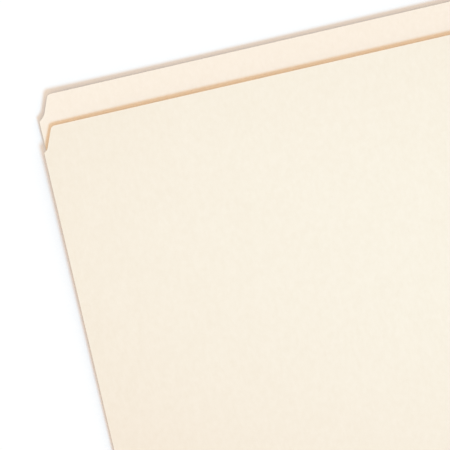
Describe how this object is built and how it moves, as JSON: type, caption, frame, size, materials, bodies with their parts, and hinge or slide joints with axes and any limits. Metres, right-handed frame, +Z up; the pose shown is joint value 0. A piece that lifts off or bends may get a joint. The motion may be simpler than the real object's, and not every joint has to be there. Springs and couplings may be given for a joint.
{
  "type": "top tab file folder",
  "caption": "Folded sheet of manila board: a back leaf with a full-width tab along its top edge, a shorter front leaf, and score lines beside the fold that let the base open out square.",
  "frame": {"origin": "middle of the rectangle that the closed folder covers, on the surface it lies on", "axes": "+X along the fold, +Y from the fold to the tab, +Z up through the thickness, from the back leaf to the front leaf"},
  "size_m": [0.2984, 0.2414, 0.0032],
  "materials": {
    "manila_board": "matt, smooth uncoated board with faint fibres",
    "creased_board": "matt, fibres crushed along the bend, a shade lighter"
  },
  "bodies": {
    "back": {"back_leaf": "manila_board"},
    "fold": {"main_fold": "creased_board"},
    "cover": {"expansion_strip_1": "manila_board", "score_crease_1": "creased_board", "expansion_strip_2": "manila_board", "score_crease_2": "creased_board", "expansion_strip_3": "manila_board", "score_crease_3": "creased_board", "front_leaf": "manila_board"}
  },
  "joints": [
    {"name": "cover_opening", "type": "hinge", "parent": "back", "child": "cover", "pos_m": [0, -0.11987, 0.00078], "axis": [1, 0, 0], "range_deg": [0, 179.59]},
    {"name": "fold_bending", "type": "hinge", "parent": "back", "child": "fold", "pos_m": [0, -0.11987, 0.00078], "axis": [1, 0, 0], "range_deg": [0, 89.79]}
  ],
  "couplings": [
    {"joint": "fold_bending", "follows": "cover_opening", "ratio": 0.5}
  ]
}
